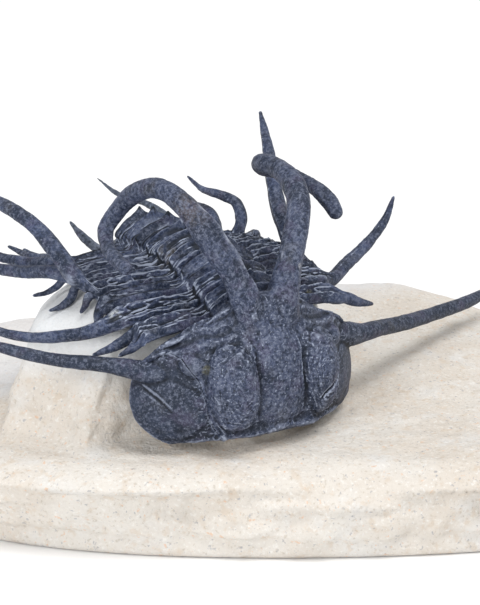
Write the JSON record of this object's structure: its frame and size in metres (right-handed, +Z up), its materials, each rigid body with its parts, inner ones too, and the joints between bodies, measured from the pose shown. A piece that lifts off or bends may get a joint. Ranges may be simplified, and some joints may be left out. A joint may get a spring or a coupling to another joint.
{
  "type": "trilobite fossil",
  "caption": "Fossil trilobite with curled horns, long cheek spines and spiny flanks, raised on a slab of pale limestone with a flat underside.",
  "frame": {"origin": "centre of the flat underside of the limestone slab", "axes": "+Z up; the fossil's head looks towards -Y, its tail lies towards +Y and +X is the animal's left; the slab's front edge is turned 34 degrees from the X axis"},
  "size_m": [0.1078, 0.0989, 0.0464],
  "materials": {
    "matrix": "matt, fine grained, pale sandy beige",
    "cranidium": "dark blue-grey slate, satin",
    "right_free_cheek": "dark blue-grey slate, satin",
    "left_free_cheek": "dark blue-grey slate, satin",
    "thoracic_segment_1": "dark blue-grey slate, satin",
    "thoracic_segment_2": "dark blue-grey slate, satin",
    "thoracic_segment_3": "dark blue-grey slate, satin",
    "thoracic_segment_4": "dark blue-grey slate, satin",
    "thoracic_segment_5": "dark blue-grey slate, satin",
    "thoracic_segment_6": "dark blue-grey slate, satin",
    "thoracic_segment_7": "dark blue-grey slate, satin",
    "thoracic_segment_8": "dark blue-grey slate, satin",
    "thoracic_segment_9": "dark blue-grey slate, satin",
    "pygidium": "dark blue-grey slate, satin"
  },
  "bodies": {
    "root": {"matrix": "matrix", "cranidium": "cranidium", "right_free_cheek": "right_free_cheek", "left_free_cheek": "left_free_cheek", "thoracic_segment_1": "thoracic_segment_1", "thoracic_segment_2": "thoracic_segment_2", "thoracic_segment_3": "thoracic_segment_3", "thoracic_segment_4": "thoracic_segment_4", "thoracic_segment_5": "thoracic_segment_5", "thoracic_segment_6": "thoracic_segment_6", "thoracic_segment_7": "thoracic_segment_7", "thoracic_segment_8": "thoracic_segment_8", "thoracic_segment_9": "thoracic_segment_9", "pygidium": "pygidium"}
  },
  "joints": []
}
